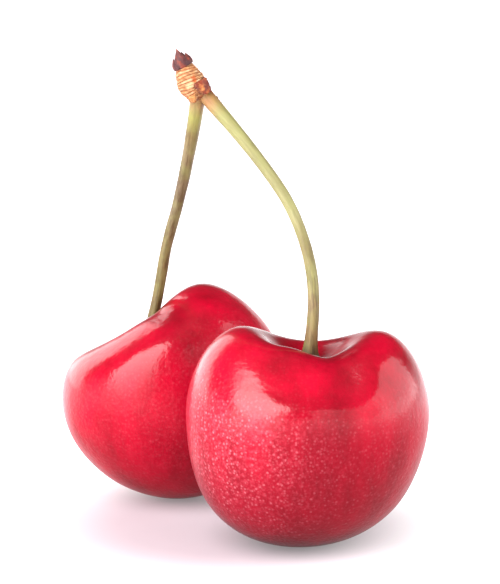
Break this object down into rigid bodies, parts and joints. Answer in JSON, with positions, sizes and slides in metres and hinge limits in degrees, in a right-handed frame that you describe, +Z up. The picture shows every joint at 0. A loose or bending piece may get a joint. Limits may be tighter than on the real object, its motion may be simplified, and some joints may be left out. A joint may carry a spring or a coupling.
{
  "type": "pair of sweet cherries on joined stalks",
  "caption": "Ripe red cherries standing side by side, their long green stalks joined at a short woody spur with dry bud scales.",
  "frame": {"origin": "on the surface the pair stands on, under the middle of the pair's bounding box", "axes": "+Z up from the surface to the spur, +X to the viewer's right across the upright fruit's two shoulders, +Y from the upright front fruit towards the tilted back fruit"},
  "size_m": [0.0409, 0.0431, 0.0526],
  "materials": {
    "cherry_skin": "glossy waxy fruit skin",
    "stalk": "satin green stem, brown towards the fruit",
    "spur_wood": "rough fibrous bark in rings",
    "dry_scale": "dry papery scale, dull"
  },
  "bodies": {
    "root": {"cherry_front": "cherry_skin", "cherry_back": "cherry_skin", "stalk_front": "stalk", "stalk_back": "stalk", "spur": "spur_wood", "bud_scale_1": "dry_scale", "bud_scale_2": "dry_scale", "bud_scale_3": "dry_scale", "bud_scale_4": "dry_scale", "bud_scale_5": "dry_scale", "bract_1": "dry_scale", "bract_2": "dry_scale", "bract_3": "dry_scale"}
  },
  "joints": []
}
